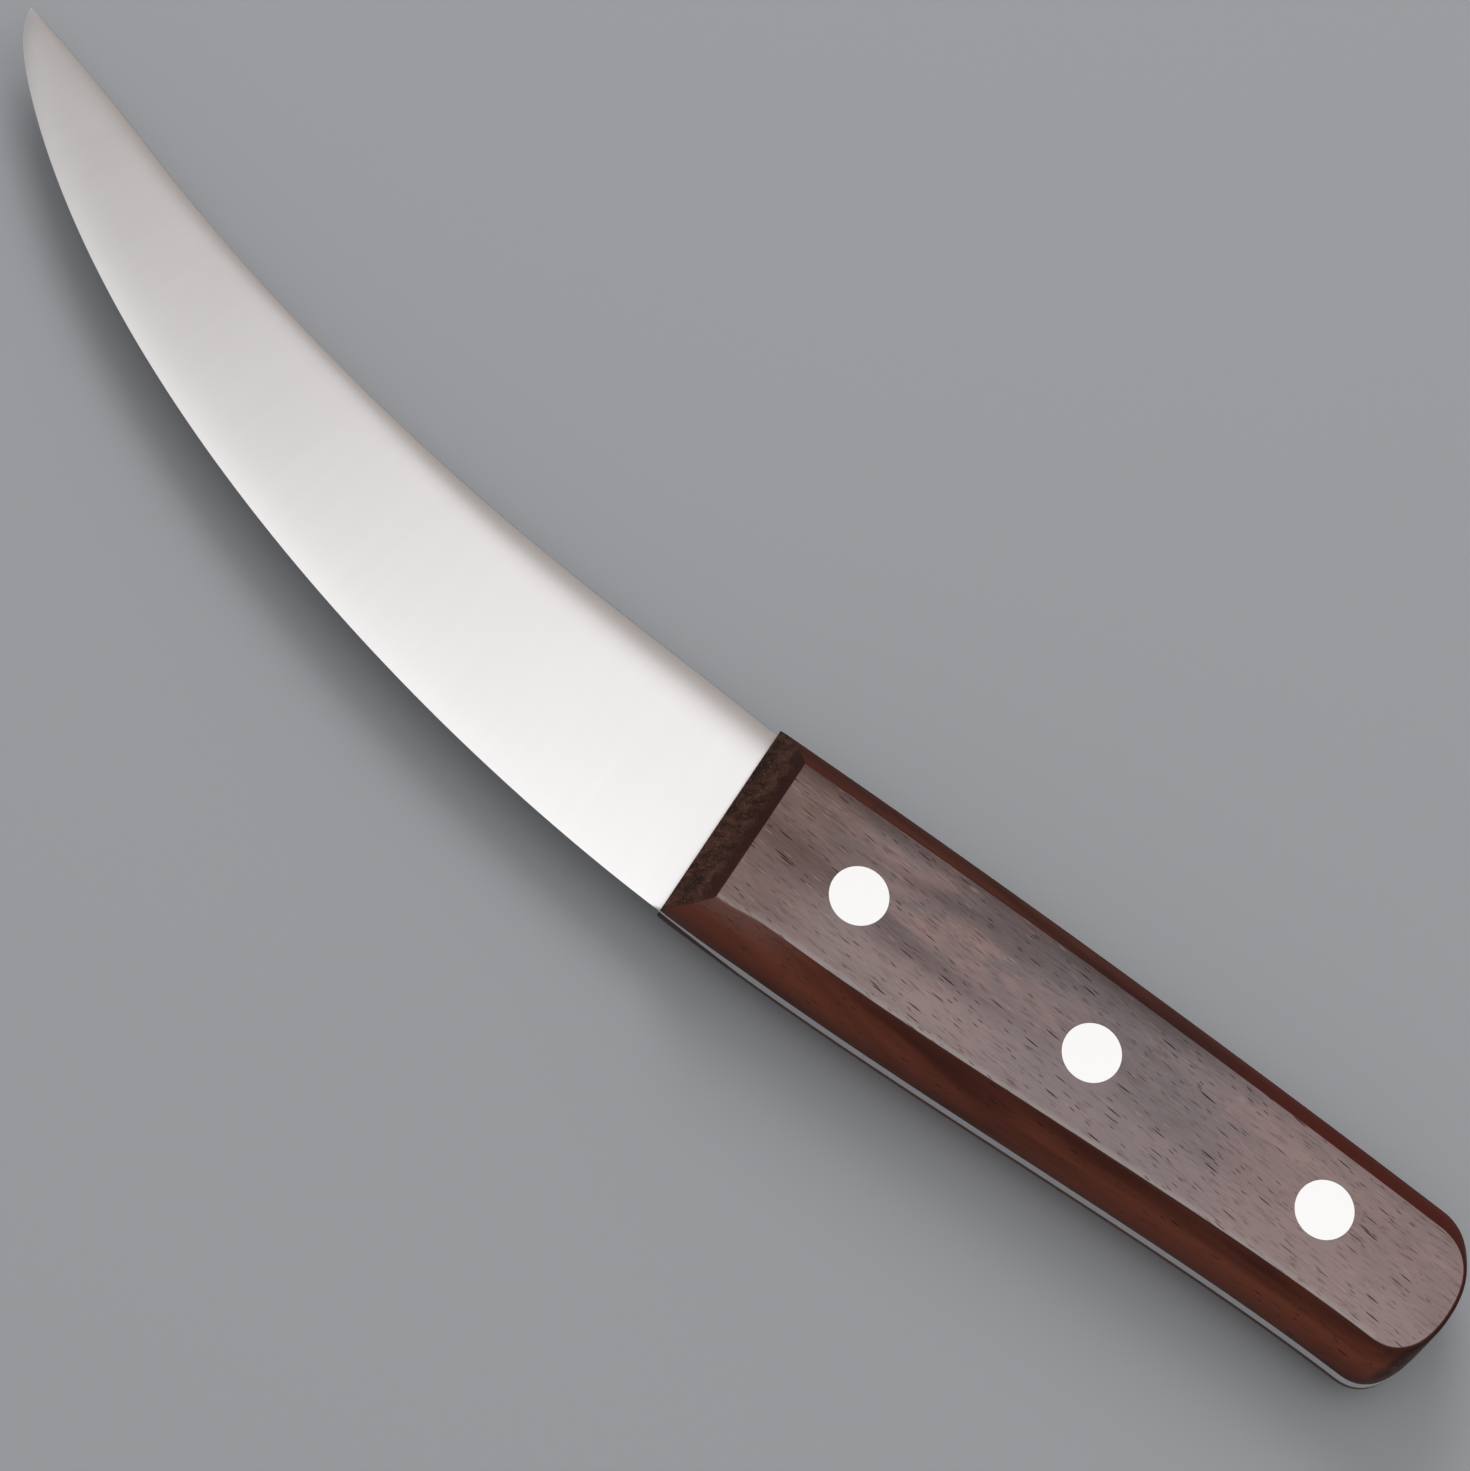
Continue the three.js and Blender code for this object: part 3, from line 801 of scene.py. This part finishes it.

# %% [markdown]
# Where the tone changes, and where light and shade are painted
#
# One tone all over would look like plastic. Along the handle the tone changes: the front is redder,
# the middle greyer and the rear paler. Other steps paint light and shade into the colour: a painted
# highlight on the flat along the lower ridge, a painted sheen on the lower part of the flat, and
# painted shade along the upper ridge, under the lower ridge, on the upper side and towards the
# tang. A painter would use a brush. Here soft steps along the handle, across it and up from the
# tang say where.

# %% Places on a scale
facing = node(tree, "SeparateXYZ", {0: node(tree, "Attribute", {}, attribute_name="facing")[1]})
lie = node(tree, "SeparateXYZ", {0: node(tree, "Attribute", {}, attribute_name="lie")[1]})
from_bottom, from_top = lie[0], lie[1]
place = node(tree, "SeparateXYZ", {0: object_place})
middle = node(tree, "Math", {0: place[2], 1: SCALE_FACE * MM}, operation="SUBTRACT")[0]
height = node(tree, "Math", {0: middle}, operation="ABSOLUTE")[0]


def step_along(low, high, to=(0.0, 1.0)):
    """A soft step along the handle, in millimetres from the middle of the knife."""
    return mask(tree, place[0], low * MM, high * MM, to)


def step_up(low, high, to=(0.0, 1.0)):
    """A soft step away from the middle of the tang, in millimetres."""
    return mask(tree, height, low * MM, high * MM, to)


behind_front = step_along(20, 36)
upper_side = mask(tree, from_bottom, 8.0, 16.0)
sanded = mask(tree, facing[0], 0.955, 0.995)
cut = mask(tree, facing[1], 0.35, 0.7)
print("places:", len(tree.nodes), "nodes so far")

# %% Colour the oiled sides
OILED_DARK, OILED_RED = (0.050, 0.011, 0.006), (0.150, 0.040, 0.021)
lower_side = mask(tree, from_bottom, 0.0, 3.0, (1.0, 0.0))
front_corner = times(
    tree, times(tree, step_along(20, 34, (0.95, 0.0)), lower_side), step_up(5, 8.5))
# painted shade: the oiled side darker just under the ridge, behind the front
ridge_shade = times(
    tree, mask(tree, facing[0], 0.70, 0.80), mask(tree, facing[0], 0.94, 0.98, (1.0, 0.0)))
painted_shade_under_ridge = times(tree, ridge_shade, times(tree, behind_front, 0.7))
rear_top = times(tree, step_along(80, 100, (0.0, 0.45)), upper_side)

oiled = mixed(tree, mask(tree, bands, 0.35, 0.65), OILED_DARK, OILED_RED)
oiled = laid_over(tree, oiled, [
    # painted shade: the oiled sides darker towards the tang
    (step_up(1, 6, (0.5, 0.0)), (0.030, 0.007, 0.004)),  # dark towards the tang
    (front_corner, (0.175, 0.079, 0.061)),
    (painted_shade_under_ridge, (0.030, 0.017, 0.014)),
    # painted shade: the upper side darker than the lower side
    (times(tree, upper_side, 0.55), (0.030, 0.007, 0.005)),
    (rear_top, (0.100, 0.009, 0.004))])
print("sides:", len(tree.nodes), "nodes so far")

# %% Colour the sanded flats
MATT_GREY, MATT_PINK = (0.180, 0.145, 0.146), (0.276, 0.184, 0.172)
# painted sheen: the lower part of the flat is paler, less so at the front
painted_sheen_lower_flat = times(
    tree, mask(tree, from_bottom, 2.0, 14.0, (0.65, 0.0)),
    mask(tree, behind_front, 0.0, 1.0, (0.35, 1.0)))
middle_flat = times(tree, step_along(45, 70, (0.0, 0.4)), step_along(88, 102, (1.0, 0.0)))
# painted highlight: a pale band on the flat along the lower ridge, weaker at the front
lower_ridge_highlight = times(
    tree, mask(tree, from_bottom, 0.1, 1.1, (1.0, 0.0)),
    mask(tree, behind_front, 0.0, 1.0, (0.7, 1.0)))
# painted shade: the flat darker within a few millimetres of the upper ridge, fading out towards the
# rear
painted_shade_upper_border = times(
    tree, mask(tree, from_top, 0.0, 2.8, (0.55, 0.0)), step_along(70, 95, (1.0, 0.0)))

matt = mixed(tree, mask(tree, blotches, 0.33, 0.68), MATT_GREY, MATT_PINK)
matt = laid_over(tree, matt, [
    (mask(tree, mottle, 0.40, 0.66, (0.0, 0.45)), (0.150, 0.122, 0.124)),
    (mask(tree, bands, 0.36, 0.60, (0.85, 0.0)), (0.100, 0.073, 0.073)),
    (step_along(20, 36, (0.55, 0.0)), (0.138, 0.078, 0.063)),  # redder at the front
    (painted_sheen_lower_flat, (0.315, 0.240, 0.233)),
    (step_along(78, 104, (0.0, 0.5)), (0.310, 0.222, 0.214)),  # paler at the rear
    (middle_flat, (0.198, 0.172, 0.180)),
    (times(tree, lower_ridge_highlight, 0.6), (0.340, 0.295, 0.285)),
    (painted_shade_upper_border, (0.035, 0.018, 0.015))])
print("flats:", len(tree.nodes), "nodes so far")

# %% Colour the end grain, the fibres and the pores
END_DARK, END_BROWN = (0.012, 0.005, 0.003), (0.072, 0.031, 0.021)
end_grain = mixed(tree, mask(tree, mottle, 0.36, 0.68), END_DARK, END_BROWN)
end_grain = laid_over(tree, end_grain, [
    (mask(tree, flecks, 0.58, 0.68, (0.0, 0.6)), (0.180, 0.075, 0.045)),
    (step_up(6.2, 8.0, (0.0, 0.85)), (0.022, 0.005, 0.003))])  # dark up to the front's ridge

pale_fibres = times(tree, mask(tree, fibres, 0.22, 0.45, (0.28, 0.0)), sanded)
wood = laid_over(tree, mixed(tree, sanded, oiled, matt), [
    (mask(tree, fibres, 0.50, 0.75, (0.0, 0.46)), (0.045, 0.022, 0.018)),
    (pale_fibres, (0.36, 0.25, 0.23)),
    (times(tree, cut, 0.92), end_grain),
    (times(tree, times(tree, pale_streaks, sanded), 0.4), (0.40, 0.30, 0.27)),
    (times(tree, pore, 0.95), (0.024, 0.010, 0.007))])
tree.links.new(wood, shader.inputs["Base Color"])
print("wood:", len(tree.nodes), "nodes so far")

# %% Roughness and relief of the wood
LOWER_SIDE_ROUGH, UPPER_SIDE_ROUGH = 0.36, 0.75
END_ROUGH, FLAT_ROUGH = 0.5, 0.42
PORE_DEPTH = 0.0001
side_rough = mask(tree, from_bottom, 5.0, 14.0, (LOWER_SIDE_ROUGH, UPPER_SIDE_ROUGH))
oiled_rough = mask(tree, cut, 0.0, 1.0, (side_rough, END_ROUGH))
rough = mask(tree, sanded, 0.0, 1.0, (oiled_rough, FLAT_ROUGH))
rough = node(tree, "Math", {0: rough, 1: mask(tree, fibres, 0.3, 0.7, (-0.04, 0.05))})[0]
tree.links.new(rough, shader.inputs["Roughness"])
shader.inputs["Specular IOR Level"].default_value = 0.14
depth = node(tree, "Math", {0: times(tree, fibres, 0.2), 1: pore}, operation="SUBTRACT")[0]
relief = node(tree, "Bump", {"Strength": 0.5, "Distance": PORE_DEPTH, "Height": depth})[0]
tree.links.new(relief, shader.inputs["Normal"])
for scale in (left_scale, right_scale):
    scale.data.materials.append(rosewood)
print("finish:", rosewood.name, len(tree.nodes), "nodes")

# %% [markdown]
# Polished heads
#
# The heads were ground and then polished on a wheel, so they are the brightest things on the knife.
# Under the polish are faint rings from turning. A plain mirror would do from afar, but the rings
# keep it from looking like a hole. They follow the radius that the profile carried along, and
# they only touch the tone, the roughness and a hair of relief.

# %% Finish the rivets
RING_DARK, RING_BRIGHT = (0.846, 0.850, 0.857), (0.866, 0.870, 0.877)
RINGS_PER_MM = (9.0, 0.0, 0.0)
RING_DEPTH = 0.00002
polished_metal, tree, shader = finish("polished_metal")
lie = node(tree, "Attribute", {}, attribute_name="turning")[1]
outwards = node(tree, "Mapping", {"Vector": lie, "Scale": RINGS_PER_MM})[0]
rings = node(tree, "TexNoise", {
    "Vector": outwards, "Scale": 1.0, "Detail": 3.0, "Roughness": 0.6})[0]
tree.links.new(mask(tree, rings, 0.3, 0.7, (0.20, 0.26)), shader.inputs["Roughness"])
tree.links.new(mixed(tree, rings, RING_DARK, RING_BRIGHT), shader.inputs["Base Color"])
relief = node(tree, "Bump", {"Strength": 0.05, "Distance": RING_DEPTH, "Height": rings})[0]
tree.links.new(relief, shader.inputs["Normal"])
shader.inputs["Metallic"].default_value = 1.0
for rivet in rivets:
    rivet.data.materials.append(polished_metal)
print("finish:", polished_metal.name, len(tree.nodes), "nodes")

# %% [markdown]
# The table
#
# The knife lies on a plain grey card. It is a wide flat sheet, a hair below the lowest wood, so that
# the two do not share a plane. The card's own colour makes the background, and it keeps the shadow.

# %% Lay the card
CARD, CARD_DROP = 2.5, 0.00005
CARD_GREY = (0.336, 0.346, 0.363)
card_corners = [(-CARD, -CARD), (CARD, -CARD), (CARD, CARD), (-CARD, CARD)]
card_mesh = bpy.data.meshes.new("card")
card_mesh.from_pydata([(x, y, -CARD_DROP) for x, y in card_corners], [], [(0, 1, 2, 3)])
card = bpy.data.objects.new("card", card_mesh)
bpy.context.scene.collection.objects.link(card)
grey_card, tree, shader = finish("grey_card")
shader.inputs["Base Color"].default_value = solid(CARD_GREY)
shader.inputs["Roughness"].default_value = 0.85
shader.inputs["Specular IOR Level"].default_value = 0.2
card_mesh.materials.append(grey_card)
print("card: %.1f m wide" % (2 * CARD))

# %% [markdown]
# The light
#
# Metal shows what it mirrors, so the lights are shapes first. Seen by the camera, the blade's
# face mirrors a place 21 degrees off straight up, on the side of its back. A large soft box hangs
# over the handle and reaches just past that place: the heel and the heads are white in it, and
# towards the tip its end passes out of the mirror, so the steel turns grey. A slim box beyond
# that end keeps the side of the cutting edge brighter than the back. A smaller lamp stands
# low behind the back and throws the shadow to the side of the edge. It is kept out of mirrors, or
# it would draw a streak along the back.
# We ask for the brightness of a lamp's face, its radiance. Its power is the radiance times pi
# times its area, so two boxes of different sizes look equally bright in a mirror.

# %% Hang the lights
LAMP_WHITE = (1.0, 0.995, 0.99)


def soft_box(name, place, aim, size, radiance, mirrored=True):
    """A rectangular lamp at a place, facing an aim, with the power that gives its face that
    radiance."""
    lamp = bpy.data.lights.new(name, "AREA")
    lamp.shape = "RECTANGLE"
    lamp.size, lamp.size_y = size
    lamp.energy = radiance * np.pi * size[0] * size[1]
    lamp.color = LAMP_WHITE
    box = bpy.data.objects.new(name, lamp)
    box.location = place
    box.rotation_euler = (Vector(aim) - Vector(place)).to_track_quat("-Z", "Y").to_euler()
    box.visible_camera = False
    box.visible_glossy = mirrored
    bpy.context.scene.collection.objects.link(box)
    print(name, "%.2f W" % lamp.energy)


soft_box(
    "box_overhead", place=(0.318, -0.05, 0.80), aim=(0.318, -0.05, 0.0),
    size=(0.885, 1.02), radiance=0.80)
soft_box(
    "box_at_edge", place=(-0.231, -0.189, 0.80), aim=(-0.231, -0.189, 0.0),
    size=(0.213, 0.708), radiance=0.80)
soft_box(
    "lamp_behind", place=(-0.55, 0.70, 0.85), aim=(0.0, 0.0, 0.0),
    size=(0.55, 0.55), radiance=6.0, mirrored=False)

# %% [markdown]
# The room
#
# Where no lamp is mirrored, metal shows the room. An even grey world would do for wood, but steel
# in it looks like grey paint. So a ray that has met a mirror sees a simple room: a dark horizon,
# a bright belt at middle height, a warm panel behind the knife's back, a plain wall above, and
# stretches of light and dark round about. The stretches are one more than x y (x x - y y), which
# rises and falls four times in a turn. All other rays meet an even grey that fills the shadows,
# and the camera sees a grey like the card's.

# %% Set the room
WALL, WALL_ABOVE = (0.368, 0.367, 0.366), (0.381, 0.367, 0.354)
BELT, PANEL, HORIZON = (0.50, 0.50, 0.50), (0.398, 0.349, 0.314), (0.12, 0.12, 0.12)
FILL, BACKDROP = (0.44, 0.44, 0.44), (0.366, 0.369, 0.374)

scene = bpy.context.scene
scene.world = bpy.data.worlds.new("room")
scene.world.use_nodes = True
tree = scene.world.node_tree
seen = node(tree, "LightPath", {})
way = node(tree, "SeparateXYZ", {0: node(tree, "TexCoord", {})["Generated"]})
x, y, z = way[0], way[1], way[2]

panel = times(tree, mask(tree, y, 0.42, 0.66), mask(tree, y, 0.84, 0.94, (1.0, 0.0)))
panel = times(tree, panel, mask(tree, x, -0.25, -0.15))
panel = times(tree, panel, mask(tree, x, 0.15, 0.35, (1.0, 0.0)))
belt = times(tree, mask(tree, z, 0.15, 0.45), mask(tree, z, 0.62, 0.80, (1.0, 0.0)))
mirrored_room = mixed(tree, mask(tree, z, 0.60, 0.85), WALL, WALL_ABOVE)
mirrored_room = laid_over(tree, mirrored_room, [
    (belt, BELT), (panel, PANEL), (mask(tree, z, 0.05, 0.6, (0.65, 0.0)), HORIZON)])

squares = {0: times(tree, x, x), 1: times(tree, y, y)}
swing = times(tree, times(tree, x, y), node(tree, "Math", squares, operation="SUBTRACT")[0])
stretches = node(tree, "Math", {0: swing, 1: 1.0})[0]
mirrored_room = mixed(tree, 1.0, mirrored_room, stretches, "MULTIPLY")

room = mixed(tree, seen["Is Glossy Ray"], FILL, mirrored_room)
room = mixed(tree, seen["Is Camera Ray"], room, BACKDROP)
tree.links.new(room, tree.nodes["Background"].inputs["Color"])
scene.view_settings.view_transform = "Standard"
print("room set, view transform", scene.view_settings.view_transform)
